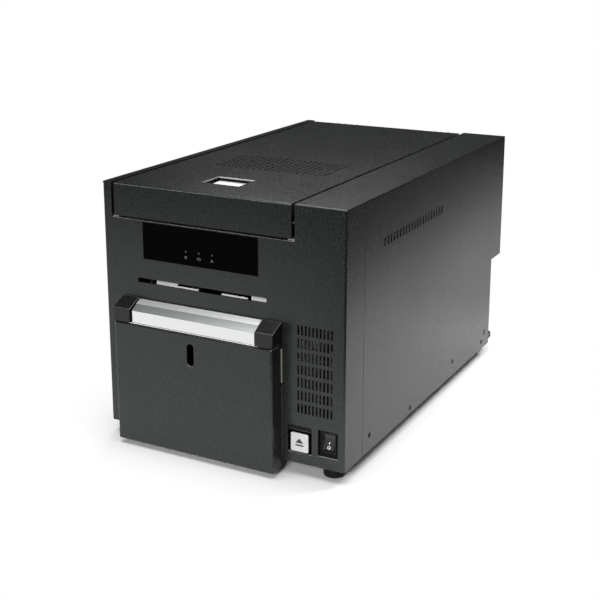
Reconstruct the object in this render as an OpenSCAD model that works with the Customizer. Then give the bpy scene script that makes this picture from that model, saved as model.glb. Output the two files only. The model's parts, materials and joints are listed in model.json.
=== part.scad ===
// Large-format card printer: sheet-steel case, top lid, front card door and the print engine inside.
// Case coordinates: X from the left side, Y back from the front face, Z up from the underside of the case.

/* [Case] */
// Width of the case
case_w = 286; // [280:1:300]
// Depth of the case from its front face to its upper rear face
case_d = 466; // [460:1:480]
// Height of the case without its feet
case_h = 270; // [268:1:280]
// Thickness of the case sheets
sheet = 1.5; // [1.2:0.1:1.6]
// Radius of the bent outer edges
bend_r = 2; // [1.6:0.1:2.2]
// Depth of the front cover's side returns
return_d = 42; // [38:1:46]
// How far the lower rear wall stands in from the upper one
rear_step_d = 34; // [30:1:38]
// Height of the rear step
rear_step_h = 114; // [110:1:118]
// Width of the fixed top strip at the left of the lid
left_strip_w = 10; // [9:0.5:11]
// Left edge of the fixed top strip at the right of the lid
right_strip_x = 230; // [230:0.5:231]
// Height of a foot
foot_h = 15; // [12:1:18]
// Radius of a foot
foot_r = 11.3; // [10:0.1:12]
// Inset of a foot's centre from the sides and the front
foot_inset = 21.5; // [20:0.5:24]

/* [Lid] */
// Height of the lid's front flange
lid_front_h = 35; // [33:1:36]
// Gap beside the lid
lid_gap = 3.6; // [3:0.1:4]
// Height of the lid's side flanges
lid_side_h = 13; // [10:1:16]
// Radius of the lid's hinge knuckles
lid_knuckle_r = 3.2; // [3:0.1:3.4]
// Rows and columns of the lid's vent holes
vent_rows = 9; // [7:1:10]
// Columns of the lid's vent holes
vent_cols = 18; // [14:1:19]
// Pitch of the lid's vent holes
vent_pitch = 7.8; // [7.6:0.1:8]
// Radius of a lid vent hole
vent_r = 1.9; // [1.5:0.1:2.2]

/* [Card door] */
// Depth that the card door stands out of the front face
door_d = 20; // [19:0.5:21]
// Left side of the card door
door_x = 23.5; // [23:0.5:25]
// Width of the card door
door_w = 191.5; // [188:0.5:193]
// Height of the card door's sheet box
door_h = 133; // [130:1:134]
// How far the card door hangs below the case
door_drop = 9; // [7:1:10]
// Width of a handle end cap
cap_w = 20.8; // [19:0.1:23]
// Height of the handle above the door box
handle_h = 24.4; // [22:0.1:26]
// Width of the card level window
window_w = 8.3; // [6:0.1:9]
// Height of the card level window
window_h = 24; // [20:1:30]
// Radius of the door hinge knuckles
door_knuckle_r = 2.7; // [2.5:0.1:2.9]

/* [Front controls] */
// Width of the gloss control panel
panel_w = 138.7; // [130:0.1:140]
// Height of the gloss control panel
panel_h = 39.6; // [36:0.1:40]
// Width of the card slot
slot_w = 156; // [150:1:158]
// Height of the card slot
slot_h = 5; // [4.6:0.1:6]
// Columns of the front vent
front_vent_cols = 10; // [8:1:10]
// Rows of the front vent
front_vent_rows = 7; // [5:1:7]
// Width of the release key
key_w = 20; // [20:0.5:22.5]
// Height of the release key
key_h = 20; // [17:0.5:20]
// Travel of the release key
key_travel = 3; // [2:0.5:4]
// Width of the power rocker
rocker_w = 12; // [10:0.5:12]
// Height of the power rocker
rocker_h = 18; // [16:0.5:18]

/* [Print engine] */
// Radius of the driven card rollers
roller_r = 9; // [9:0.5:9]
// Radius of a roller shaft
shaft_r = 3; // [3:0.5:3]
// Gear module
gear_m = 1.5; // [1.5:0.5:1.5]
// Teeth of a roller gear
roller_teeth = 28; // [28:2:28]
// Teeth of an idler gear
idler_teeth = 20; // [20:2:20]
// Teeth of the motor pinion
pinion_teeth = 12; // [12:2:12]
// Radius of the pinch rollers
pinch_r = 6; // [5:0.5:6]
// Radius of the ribbon on the supply spool
supply_r = 30; // [20:1:30]
// Radius of the ribbon on the take-up spool
takeup_r = 13; // [9:1:14]
// Width of a card
card_w = 140; // [130:1:140]
// Length of a card along the transport
card_l = 88; // [86:1:88]

/* [Hidden] */
$fn = 48;
fit = 0.05;          // radial running clearance of a shaft
round_fn = 32;

// case
inner_y = case_d - sheet;
lower_y = case_d - rear_step_d;
lid_x = left_strip_w + lid_gap + 0.4;
lid_end = right_strip_x - lid_gap;
lid_w = lid_end - lid_x;
cut_z = case_h - lid_front_h - 2.6;       // top edge of the front cover under the lid
hinge_y = case_d - 0.2 - lid_knuckle_r;
hinge_z = case_h - 0.2 - lid_knuckle_r;
lid_plate_end = hinge_y - 4.6;
wall_x = right_strip_x;                   // wall between the print engine and the electronics bay

// lid finger recess
cup = [95.6, 43, 45.8, 34.6];             // left, front, width, depth
cup_depth = 17;
cup_wall = 1.2;
paddle_z = case_h - 4.7;
paddle_axis = [cup[1] + cup[3] - 5, paddle_z - 2.2];

// front cover openings
slot_x = 42;
slot_z = 165;
panel_x = 50;
panel_z = 191.6;
led_x = 103.3;
led_pitch = 15.8;
led_z = 206;
led_r = 0.9;
vent_x = 234.1;
vent_z = 55;
vent_slot = [2.1, 10];
vent_step = [4.14, 13.8];
key_hole = [222.2, 10.9, 27.1, 29.8];     // left, bottom, width, height
key_at = [235.6, 22.7];
switch_hole = [256.4, 12.4, 22.4, 28.6];
switch_at = [267.4, 27];
switch_face_y = 4;
screw_head_r = 2.8;
rocker_axis_y = switch_face_y + 4.6;
rocker_tilt = 11;
card_hole = [46, 11, 146, 84];            // the card tray's mouth

// card door
door_z = -door_drop;
door_top = door_z + door_h;
door_back = -1.7;
door_axis = [door_x - 3.3, -3.5];
door_leaf_t = 1.2;
cap_x = door_x - 0.8;
cap_end = door_x + door_w + 1;
handle_z = door_top + 1.4;
window_z = 102.3;
window_x = 118.6;
catch_z = [50, 66];

// engine
path_z = slot_z + 0.4;
roller_z = path_z - roller_r;
step_y = gear_m * (roller_teeth + idler_teeth) / 2;
entry_y = 58;
idler_y = entry_y + step_y;
platen_y = entry_y + 2 * step_y;
idler2_y = entry_y + 3 * step_y;
exit_y = entry_y + 4 * step_y;
motor_z = roller_z - gear_m * (idler_teeth + pinion_teeth) / 2;
pick_idler_teeth = 16;
pick_idler_z = roller_z - gear_m * (roller_teeth + pick_idler_teeth) / 2;
pick_z = pick_idler_z - gear_m * pick_idler_teeth;
pinch_z = path_z + 0.8 + pinch_r;
link_teeth = 14;
takeup_teeth = 24;
takeup_lean = 20;                         // lean of the take-up gear line from upright
link_at = polar([entry_y, roller_z], 90 - takeup_lean, gear_m * (roller_teeth + link_teeth) / 2);
takeup_at = polar(link_at, 90 - takeup_lean, gear_m * (link_teeth + takeup_teeth) / 2);
supply_at = [236, 206];
head_axis = [186, 197];
head_line_y = platen_y;
frame_t = 2;
frame_left_x = 33;
frame_right_x = 203;
frame_top = 230;
frame_front = 36;
frame_back = 288;
gear_x = 23.5;
gear_w = 6;
tray_x = case_w / 2 - 24 - card_w / 2;    // the card path is centred left of the case's middle
tray_wall = 2;
bush_r = 5;
stub_r = 2.5;

// electronics
bay_x = wall_x + sheet;
fan_at = [258, 78];
fan_size = 50;
fan_d = 15;
inlet_at = [258, 27];
inlet_size = [28, 20.4];
shelf = [170, 284, lower_y, lower_y + 24]; // left, right, front and back of the rear shelf
shelf_z = [3, 8.4];

// ---------- helpers ----------

// A point at a distance and angle from another
function polar(from, angle, dist) = [from[0] + dist * cos(angle), from[1] + dist * sin(angle)];

// Puts case coordinates in the part's frame: the middle of the whole outline, standing on its feet
module in_case() translate([-case_w / 2, -(case_d - door_d) / 2, foot_h]) children();

// A block from its two corners
module block(low, high) translate(low) cube(high - low);

// A rectangle with round corners, from its lower left corner
module round_rect(w, h, r) {
    translate([r, 0]) square([w - 2 * r, h]);
    translate([0, r]) square([w, h - 2 * r]);
    for (x = [r, w - r], y = [r, h - r]) translate([x, y]) circle(r, $fn = round_fn);
}

// An upright slot with round ends, about its centre
module obround(x, y, r, length) {
    reach = length / 2 - r;
    translate([x - r, y - reach]) square([2 * r, 2 * reach]);
    for (s = [-1, 1]) translate([x, y + s * reach]) circle(r, $fn = round_fn);
}

// Lays a drawing made in Y and Z along X, from x0 over a length
module along_x(x0, length) translate([x0, 0, 0]) rotate([90, 0, 90]) linear_extrude(length) children();

// Lays a drawing made in X and Z along Y, from y0 back over a length
module along_y(y0, length) translate([0, y0 + length, 0]) rotate([90, 0, 0]) linear_extrude(length) children();

// A rod along X between two ends, centred at a point given in Y and Z
module rod_x(x0, x1, at, r) translate([x0, at[0], at[1]]) rotate([0, 90, 0]) cylinder(x1 - x0, r, r);

// A rod along Y between two ends, centred at a point given in X and Z
module rod_y(y0, y1, at, r) translate([at[0], y0, at[1]]) rotate([-90, 0, 0]) cylinder(y1 - y0, r, r);

// A rod along Z between two ends
module rod_z(z0, z1, at, r) translate([at[0], at[1], z0]) cylinder(z1 - z0, r, r);

// ---------- gears ----------

function involute(t) = tan(t) * 180 / PI - t;
function involute_at(r, base) = r <= base ? 0 : involute(acos(base / r));

// Half the angle of a tooth at a radius
function tooth_half(r, pitch, teeth, slack) =
    let (base = pitch * cos(20))
    90 / teeth - slack * 90 / (PI * pitch) + involute_at(pitch, base) - involute_at(r, base);

function gear_points(teeth, phase) =
    let (
        pitch = gear_m * teeth / 2,
        slack = 0.22,
        root = pitch - 1.25 * gear_m,
        tip = pitch + 0.9 * gear_m,
        base = max(root, pitch * cos(20)),
        radii = [root, base, (base + pitch) / 2, pitch, (pitch + tip) / 2, tip],
        n = len(radii)
    )
    [for (k = [0:teeth - 1], s = [-1, 1], i = [0:n - 1])
        let (
            r = s < 0 ? radii[i] : radii[n - 1 - i],
            a = phase + k * 360 / teeth + s * tooth_half(max(r, base), pitch, teeth, slack)
        )
        [r * cos(a), r * sin(a)]];

// Angle of a gear's first tooth, so that it meshes with a neighbour in direction d
function mesh_phase(d, phase, teeth, next_teeth) =
    d + 180 - (phase - d) * teeth / next_teeth + 180 / next_teeth;

// A spur gear lying across X, with its bore
module gear(x0, width, at, teeth, phase, bore) {
    pitch = gear_m * teeth / 2;
    translate([x0, at[0], at[1]]) rotate([90, 0, 90]) difference() {
        linear_extrude(width) polygon(gear_points(teeth, phase));
        translate([0, 0, -1]) cylinder(width + 2, bore, bore);
        if (teeth > 18) translate([0, 0, width - 1.6]) difference() {
            cylinder(2, pitch - 3.4, pitch - 3.4);
            translate([0, 0, -1]) cylinder(4, bore + 2.6, bore + 2.6);
        }
    }
}

roller_phase = 0;
idler_phase = mesh_phase(0, roller_phase, roller_teeth, idler_teeth);
pinion_phase = mesh_phase(-90, idler_phase, idler_teeth, pinion_teeth);
pick_idler_phase = mesh_phase(-90, roller_phase, roller_teeth, pick_idler_teeth);
pick_phase = mesh_phase(-90, pick_idler_phase, pick_idler_teeth, pick_idler_teeth);
link_phase = mesh_phase(90 - takeup_lean, roller_phase, roller_teeth, link_teeth);
takeup_phase = mesh_phase(90 - takeup_lean, link_phase, link_teeth, takeup_teeth);

// ---------- case ----------

// Bottom tray with side flanges and the hemmed shelf that stands out behind it
module base_pan() {
    flange_h = 26;
    color("silver") in_case() {
        difference() {
            union() {
                block([sheet, sheet, 0], [case_w - sheet, lower_y - sheet, sheet]);
                for (x = [sheet, case_w - 2 * sheet])
                    block([x, return_d + 2, 0], [x + sheet, lower_y - sheet, flange_h]);
            }
            for (at = foot_places()) rod_z(-1, 3, at, 2.05);
            for (at = side_screws()) rod_x(0, case_w, at, 1.25);
        }
        block([shelf[0], lower_y - 2 * sheet, 0], [shelf[1], lower_y - sheet, shelf_z[1]]);
        block([shelf[0], lower_y - 2 * sheet, shelf_z[0]], [shelf[1], lower_y, shelf_z[1]]);
        for (z = [3, 6.6]) shelf_layer(shelf, z, 1.8, 0);
        shelf_layer(shelf, 4.8, 1.8, 2.5);
    }
}

// One layer of the rear shelf, with its outer corners round
module shelf_layer(area, z, t, inset) {
    r = 10 - inset;
    translate([area[0] + inset, area[2], z]) linear_extrude(t) intersection() {
        w = area[1] - area[0] - 2 * inset;
        d = area[3] - area[2] - inset;
        translate([0, -2 * r]) round_rect(w, d + 2 * r, r);
        square([w, d]);
    }
}

function foot_places() = [for (x = [foot_inset, case_w - foot_inset], y = [foot_inset, lower_y - 12]) [x, y]];

// Front face, side returns and the two fixed top strips, bent from one sheet
module front_cover() color("dimgray") in_case() difference() {
    intersection() {
        union() {
            linear_extrude(case_h) difference() {
                intersection() {
                    round_rect(case_w, 4 * return_d, bend_r);
                    square([case_w, return_d]);
                }
                translate([sheet, sheet]) square([case_w - 2 * sheet, return_d]);
            }
            block([0, 0, case_h - sheet], [left_strip_w, case_d, case_h]);
            block([left_strip_w - sheet, 0, cut_z], [left_strip_w, inner_y, case_h]);
            block([right_strip_x, 0, case_h - sheet], [case_w, case_d, case_h]);
        }
        along_x(0, case_w) difference() {
            translate([0, -2 * bend_r]) round_rect(case_d + bend_r, case_h + 2 * bend_r, bend_r);
            translate([-1, -9 * bend_r]) square([case_d, 9 * bend_r]);
        }
    }
    block([left_strip_w + 0.6, -1, cut_z], [right_strip_x, case_d + 1, case_h + 1]);
    front_holes();
}

// Every hole in the front face
module front_holes() {
    block([slot_x, -1, slot_z], [slot_x + slot_w, sheet + 1, slot_z + slot_h]);
    block([card_hole[0], -1, card_hole[1]], [card_hole[0] + card_hole[2], sheet + 1, card_hole[1] + card_hole[3]]);
    for (h = [key_hole, switch_hole]) block([h[0], -1, h[1]], [h[0] + h[2], sheet + 1, h[1] + h[3]]);
    for (c = [0:front_vent_cols - 1], r = [0:front_vent_rows - 1])
        translate([vent_x + c * vent_step[0] - vent_slot[0] / 2, -1, vent_z + r * vent_step[1]])
            cube([vent_slot[0], sheet + 2, vent_slot[1]]);
    for (k = [0:2]) rod_y(-1, sheet + 1, [led_x + k * led_pitch, led_z], led_r);
}

// Outline of a side panel in Y and Z, with the rear step
module side_outline() polygon([
    [return_d + 0.5, 0], [lower_y, 0], [lower_y, rear_step_h], [case_d, rear_step_h],
    [case_d, case_h - sheet - 0.3], [return_d + 0.5, case_h - sheet - 0.3]
]);

// One side panel with its inner rear flange
module side_panel(x0, flange_x) difference() {
    union() {
        along_x(x0, sheet) side_outline();
        block([flange_x, inner_y - sheet, rear_step_h + sheet], [flange_x + 9, inner_y, cut_z - 1]);
    }
    for (at = side_screws()) rod_x(x0 - 1, x0 + sheet + 1, at, screw_head_r);
}

function side_screws() = [[59, 18], [168, 7.5], [300, 18], [lower_y - 28, 10]];

module left_side_panel() color("dimgray") in_case() side_panel(0, sheet);

// The right side panel has a row of vent slots and a slot for a security lock
module right_side_panel() {
    slots = 21;
    pitch = 7.9;
    first_y = 89;
    color("dimgray") in_case() difference() {
        side_panel(case_w - sheet, case_w - sheet - 9);
        for (k = [0:slots - 1])
            block([case_w - sheet - 1, first_y + k * pitch, 213.8], [case_w + 1, first_y + k * pitch + 3, 223.6]);
        block([case_w - sheet - 1, 413, 17.2], [case_w + 1, 416.2, 22.8]);
        for (z = [17.2, 22.8]) rod_x(case_w - sheet - 1, case_w + 1, [414.6, z], 1.6);
    }
}

// Rear wall: lower wall with the sockets and the fan grille, step and upper wall
module rear_panel() color("dimgray") in_case() difference() {
    union() {
        block([sheet, lower_y - sheet, 0], [case_w - sheet, lower_y, rear_step_h]);
        block([sheet, lower_y - sheet, rear_step_h], [case_w - sheet, case_d, rear_step_h + sheet]);
        block([sheet, inner_y, rear_step_h], [case_w - sheet, case_d, case_h - 8.5]);
        block([sheet, inner_y, rear_step_h], [left_strip_w, case_d, case_h - sheet]);
        block([right_strip_x, inner_y, rear_step_h], [case_w - sheet, case_d, case_h - sheet]);
    }
    block([inlet_at[0] - inlet_size[0] / 2, lower_y - 3, inlet_at[1] - inlet_size[1] / 2],
        [inlet_at[0] + inlet_size[0] / 2, lower_y + 1, inlet_at[1] + inlet_size[1] / 2]);
    block([shelf[0], lower_y - 3, -1], [shelf[1], lower_y + 1, shelf_z[1]]);
    fan_grille();
    for (p = port_list()) block([p[0], lower_y - 3, p[1]], [p[0] + p[2], lower_y + 1, p[1] + p[3]]);
}

// Upright slots in front of the fan, each as long as the fan's circle is high there
module fan_grille() {
    r = fan_size / 2 - 2.5;
    for (k = [-4:4]) {
        x = k * 5;
        h = sqrt(r * r - x * x);
        block([fan_at[0] + x - 1.3, lower_y - 3, fan_at[1] - h], [fan_at[0] + x + 1.3, lower_y + 1, fan_at[1] + h]);
    }
}

// Left, bottom, width and height of the sockets on the main board
function port_list() = [[150, 25.4, 12.2, 11], [176, 25.4, 16, 13.4]];

// Wall between the print engine and the electronics bay
module bay_wall() color("silver") in_case() difference() {
    along_x(wall_x, sheet) polygon([
        [sheet, 56], [32, 56], [32, sheet], [lower_y - 2 * sheet, sheet], [lower_y - 2 * sheet, 9],
        [lower_y - sheet, 9], [lower_y - sheet, rear_step_h + sheet], [inner_y, rear_step_h + sheet],
        [inner_y, case_h - sheet], [sheet, case_h - sheet]
    ]);
    block([wall_x - 1, 330, 30], [wall_x + sheet + 1, 400, 60]);
}

// Channel under the front edge of the lid, with bright ears at its ends
module front_crossbar() color("gainsboro") in_case() {
    z = cut_z - 13;
    for (x = [[sheet, wall_x]]) {
        block([x[0], 12, z], [x[1], 13.5, z + 9.5]);
        block([x[0], 13.5, z + 8], [x[1], 30, z + 9.5]);
        block([x[0], 28.5, z - 2], [x[1], 30, z + 8]);
    }
    for (x = [left_strip_w + 0.8, wall_x - 8.4]) {
        block([x, sheet + 0.3, cut_z + 0.2], [x + 7.6, 24, cut_z + 1.7]);
        block([x, 22.5, z + 9.5], [x + 7.6, 24, cut_z + 0.2]);
    }
}

// Floor of the bay behind the print engine
module inner_deck() color("dimgray") in_case() {
    block([sheet, frame_back + 4, rear_step_h + sheet], [wall_x, inner_y - sheet, rear_step_h + 2 * sheet]);
    block([sheet, frame_back + 4, rear_step_h - 20], [wall_x, frame_back + 4 + sheet, rear_step_h + sheet]);
}

// Four moulded feet with a bevelled tread and a screw recess
module rubber_feet() color("black") in_case() for (at = foot_places()) translate([at[0], at[1], -foot_h])
    rotate_extrude($fn = 48) polygon([
        [3.4, 1.2], [4.4, 0], [foot_r - 1.8, 0], [foot_r - 0.5, 0.8], [foot_r, 2.4],
        [foot_r - 0.4, foot_h], [2, foot_h], [2, 5], [3.4, 5]
    ]);

// Side screws and foot screws
module case_screws() color("dimgray") in_case() {
    for (at = side_screws(), right = [0, 1]) {
        x = right ? case_w - sheet : 0;
        rod_x(x, x + sheet, at, screw_head_r);
        rod_x(right ? x - 3 : x + sheet, right ? x : x + sheet + 3, at, 1.2);
    }
    for (at = foot_places()) rod_z(-foot_h + 5, 3, at, 2);
    for (at = foot_places()) rod_z(-foot_h + 2.6, -foot_h + 5, at, 3.3);
}

// ---------- front controls ----------

// Gloss overlay with three small lights
module control_panel() color("black") in_case() difference() {
    block([panel_x, -0.5, panel_z], [panel_x + panel_w, 0, panel_z + panel_h]);
    for (k = [0:2]) rod_y(-1, 1, [led_x + k * led_pitch, led_z], led_r);
}

// Light pipes on their small board
module status_lights() {
    color("darkseagreen") in_case() {
        for (k = [0:2]) rod_y(-0.45, 6, [led_x + k * led_pitch, led_z], led_r);
        block([led_x - 9, 6, led_z - 9], [led_x + 2 * led_pitch + 9, 7.6, led_z + 9]);
        for (x = [led_x - 6, led_x + 2 * led_pitch + 6]) rod_y(sheet, 6, [x, led_z], 2);
    }
}

// Bright folded plate that guides a card in from the slot, with two upright tongues close behind it
module card_guide() color("white") in_case() {
    z0 = slot_z - sheet;
    fold_y = 14;
    foot_z = 152;
    notch = [82.6, 172.4];
    gap = [113.4, 141.8];
    ends = [55.6, 198];
    block([ends[0], sheet, foot_z - 6], [ends[1], 2 * sheet, foot_z + sheet]);
    block([ends[0], sheet, foot_z], [ends[1], fold_y + sheet, foot_z + sheet]);
    difference() {
        union() {
            block([ends[0], fold_y, foot_z], [ends[1], fold_y + sheet, slot_z]);
            block([ends[0], fold_y, z0], [ends[1], frame_front + 6, slot_z]);
        }
        block([notch[0], fold_y - 1, foot_z + 2 * sheet], [notch[1], frame_front - 4, slot_z + 1]);
    }
    for (x = [[notch[0], gap[0]], [gap[1], notch[1]]])
        block([x[0], 6, foot_z], [x[1], 6 + sheet, slot_z]);
}

// Open-fronted tray for the stack of cards
module card_tray() color("dimgray") in_case() {
    z0 = card_hole[1] + 1;
    top = 86;
    back = 3 + card_l + 6;
    x0 = tray_x - tray_wall;
    x1 = tray_x + card_w + 2 + tray_wall;
    block([x0, 2, z0 - tray_wall], [x1, back + tray_wall, z0]);
    for (x = [x0, x1 - tray_wall]) block([x, 2, z0], [x + tray_wall, back, top]);
    difference() {
        block([x0, back, z0], [x1, back + tray_wall, top]);
        for (x = [tray_x + 30, tray_x + card_w - 30]) block([x - 3, back - 1, z0 + 4], [x + 3, back + 4, top + 1]);
    }
    for (x = [x0 + 8, x1 - 16]) block([x, 20, sheet], [x + 8, back - 12, z0 - tray_wall]);
}

// Sheet plate that carries the stack up to the pick roller, with a thumb notch in its front edge
module lift_plate() color("lightgray") in_case() {
    z = card_hole[1] + 1.2;
    back = 3 + card_l + 5.6;
    difference() {
        block([tray_x + 1, 5, z], [tray_x + card_w + 1, back, z + 2.5]);
        rod_z(z - 1, z + 4, [tray_x + card_w / 2 + 1, 3], 14);
    }
    for (x = [tray_x + 30, tray_x + card_w - 30]) block([x - 2.6, back - 0.2, z + 5], [x + 2.6, back + 5.2, z + 12]);
    for (x = [tray_x + 30, tray_x + card_w - 30]) block([x - 2.6, back - 2, z + 2.5], [x + 2.6, back - 0.2, z + 12]);
}

// Housing of the release key: a box with a hollow for the key and a guide for its stem
module key_housing() color("black") in_case() {
    w = key_hole;
    back = 26;
    difference() {
        block([w[0] - 2.5, sheet, w[1] - 2.5], [w[0] + w[2] + 2.5, back, w[1] + w[3] + 2.5]);
        block([w[0], 0, w[1]], [w[0] + w[2], back - 4, w[1] + w[3]]);
        rod_y(back - 5, back + 1, key_at, 4 + fit);
    }
    difference() {
        block([w[0], 1, w[1] + w[3] - 6], [w[0] + w[2], 12, w[1] + w[3]]);
        block([w[0] + 2, 0, w[1] + w[3] - 4.6], [w[0] + w[2] - 2, 4, w[1] + w[3] - 1.4]);
    }
}

// White release key on a round stem
module release_key() color("white") in_case() {
    x = key_at[0] - key_w / 2;
    z = key_at[1] - key_h / 2;
    translate([x, 0, z]) along_y(-0.6, 9) round_rect(key_w, key_h, 1.8);
    rod_y(8.4, 24.5, key_at, 4);
}

// Power switch in its recess: lining, bezel and body
module switch_housing() color("black") in_case() {
    w = switch_hole;
    at = switch_at;
    bezel = [15, 22];
    body_back = 24;
    difference() {
        block([w[0] - 2.5, sheet, w[1] - 2.5], [w[0] + w[2] + 2.5, switch_face_y + 3, w[1] + w[3] + 2.5]);
        block([w[0], 0, w[1]], [w[0] + w[2], switch_face_y + 1.5, w[1] + w[3]]);
        rocker_well(at, 30);
    }
    difference() {
        translate([at[0] - bezel[0] / 2, 0, at[1] - bezel[1] / 2])
            along_y(switch_face_y - 0.4, 1.9) round_rect(bezel[0], bezel[1], 1);
        rocker_well(at, 30);
    }
    difference() {
        block([at[0] - 7.6, switch_face_y + 3, at[1] - 10.4], [at[0] + 7.6, body_back, at[1] + 10.4]);
        rocker_well(at, body_back - 3);
        rod_x(at[0] - 9, at[0] + 9, [rocker_axis_y, at[1]], 1.5 + fit);
    }
}

// Hollow that the rocker swings in
module rocker_well(at, back)
    block([at[0] - rocker_w / 2 - 0.4, 0, at[1] - rocker_h / 2 - 0.5], [at[0] + rocker_w / 2 + 0.4, back, at[1] + rocker_h / 2 + 0.5]);

// Rocker with two faces that meet at a low ridge, on a cross pin
module power_rocker() color("black") in_case() {
    translate([0, rocker_axis_y, switch_at[1]]) rotate([-rocker_tilt, 0, 0]) {
        along_x(switch_at[0] - rocker_w / 2, rocker_w) polygon([
            [-5.4, -rocker_h / 2 + 0.9], [-3.9, 2.6], [-5.4, rocker_h / 2 - 0.9],
            [2.4, rocker_h / 2 - 1.6], [4.4, 0], [2.4, -rocker_h / 2 + 1.6]
        ]);
        rod_x(switch_at[0] - 7.4, switch_at[0] + 7.4, [0, 0], 1.5);
    }
}

// ---------- card door ----------

// Sheet box of the door, open at its back, with the card level window
module door_shell() color("dimgray") in_case() difference() {
    translate([door_x, 0, door_z]) difference() {
        intersection() {
            linear_extrude(door_h) intersection() {
                translate([0, -door_d]) round_rect(door_w, 3 * door_d, bend_r);
                translate([0, -door_d]) square([door_w, door_d + door_back]);
            }
            along_x(0, door_w) translate([-door_d, 0]) round_rect(3 * door_d, door_h, 1.2);
        }
        block([sheet, -door_d + sheet, sheet], [door_w - sheet, 1, door_h - sheet]);
    }
    along_y(-door_d - 1, sheet + 2) obround(window_x, window_z, window_w / 2, window_h);
}

// Extruded handle: base strip under the caps and a hollow faceted grip between them
module door_handle() color("whitesmoke") in_case() {
    grip_x = cap_x + cap_w + 1.4;
    grip_end = cap_end - cap_w - 1.4;
    block([cap_x + cap_w - 3, -door_d + 2.2, door_top], [cap_end - cap_w + 3, -2.4, handle_z]);
    block([door_x + 2, -door_d + 4, door_top], [door_x + door_w - 2, -3.4, handle_z]);
    difference() {
        along_x(grip_x, grip_end - grip_x) polygon([
            [-17.4, handle_z], [-17.4, door_top + 14.6], [-9.4, door_top + 19.9], [-1.9, door_top + 23.5], [-1.9, handle_z]
        ]);
        along_x(grip_x - 1, grip_end - grip_x + 2) polygon([
            [-15.4, handle_z + 2], [-15.4, door_top + 13.4], [-8.6, door_top + 17.8],
            [-3.9, door_top + 20.1], [-3.9, handle_z + 2]
        ]);
    }
}

// Moulded cap over one end of the handle
module door_cap(x0, x1) {
    along_x(x0, x1 - x0) difference() {
        polygon([
            [-door_d, handle_z], [-door_d, door_top + 16.2], [-door_d + 0.9, door_top + 16.9], [-1.7, door_top + handle_h],
            [-0.9, door_top + handle_h - 0.5], [-0.9, handle_z]
        ]);
    }
}

module door_cap_left() color("black") in_case() door_cap(cap_x, cap_x + cap_w);

module door_cap_right() color("black") in_case() difference() {
    door_cap(cap_end - cap_w, cap_end);
    translate([cap_end - 5, -door_d - 1, handle_z - 1]) rotate([0, 40, 0]) cube([5, 14, 6]);
}

// Where a hinge's knuckles lie: the fixed leaf has the even ones
function knuckle(low, high, count, k) = [low + (high - low) * k / count + 0.15, low + (high - low) * (k + 1) / count - 0.15];
door_hinge_z = [6, 110];
door_knuckles = 7;

// Knuckles of one door leaf
module door_knuckles_of(parity) for (k = [parity:2:door_knuckles - 1]) {
    z = knuckle(door_hinge_z[0], door_hinge_z[1], door_knuckles, k);
    rod_z(z[0], z[1], door_axis, door_knuckle_r);
}

// Fixed leaf of the door hinge, flat on the front face
module door_hinge_leaf() color("dimgray") in_case() difference() {
    union() {
        door_knuckles_of(0);
        block([door_axis[0] - 10, -door_leaf_t, door_hinge_z[0]], [door_axis[0] - 3.4, 0, door_hinge_z[1]]);
        for (k = [0:2:door_knuckles - 1]) {
            z = knuckle(door_hinge_z[0], door_hinge_z[1], door_knuckles, k);
            block([door_axis[0] - 3.4, -door_leaf_t, z[0]], [door_axis[0], 0, z[1]]);
        }
    }
    rod_z(door_hinge_z[0] - 1, door_hinge_z[1] + 1, door_axis, 1.5);
}

// Swinging leaf of the door hinge, on the left side of the door box
module door_knuckle_leaf() color("dimgray") in_case() difference() {
    union() {
        door_knuckles_of(1);
        block([door_x - door_leaf_t, -door_d + 3, door_hinge_z[0]], [door_x, door_axis[1] - 3, door_hinge_z[1]]);
        for (k = [1:2:door_knuckles - 1]) {
            z = knuckle(door_hinge_z[0], door_hinge_z[1], door_knuckles, k);
            block([door_x - door_leaf_t, door_axis[1] - 3, z[0]], [door_x, door_axis[1], z[1]]);
        }
    }
    rod_z(door_hinge_z[0] - 1, door_hinge_z[1] + 1, door_axis, 1.5 + fit);
}

module door_hinge_pin() color("silver") in_case() {
    rod_z(door_hinge_z[0] - 1, door_hinge_z[1] + 1, door_axis, 1.5);
    rod_z(door_hinge_z[0] - 2.2, door_hinge_z[0] - 1, door_axis, 2.4);
}

// A catch body with a mouth that holds a tongue, open along Y, with its two rollers; x and z are its lower corner
module catch_body(x, z, w, h) {
    difference() {
        block([x, -12, z], [x + w, -1.2, z + h]);
        block([x + w / 2 - 4, -13, z - 1], [x + w / 2 + 4, -3, z + h + 1]);
    }
    for (s = [-1, 1]) rod_z(z + 1, z + h - 1, [x + w / 2 + s * 3.6, -9.6], 1.1);
}

// Puts a catch on the crossbar, with its mouth upwards
module on_crossbar() translate([114.5, 15, cut_z - 3.5]) rotate([-90, 0, 0]) children();

// The door's catch on its plate beside the tray's mouth, and the lid's catch on the crossbar
module roller_catches() color("black") in_case() {
    block([196, -1.2, 2], [217, 0, 80]);
    for (z = [5.5, 46]) rod_y(-1.9, -1.2, [216.1, z], 0.8);
    catch_body(196, catch_z[0], 15, catch_z[1] - catch_z[0]);
    block([112, 13.5, cut_z - 3.5], [132, 30, cut_z - 2.3]);
    on_crossbar() catch_body(0, 0, 15, 12);
}

module catch_plate() color("whitesmoke") in_case() block([196, -1.2, 84], [216.2, 0, 120]);

// A tongue with a rounded head, from its root to its tip along Y, drawn in X and Y
module tongue_outline(x, root, tip) polygon([
    [x - 1, root], [x - 1, tip - 4], [x - 2, tip - 2.4], [x - 0.8, tip], [x + 0.8, tip], [x + 2, tip - 2.4], [x + 1, tip - 4],
    [x + 1, root]
]);

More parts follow.
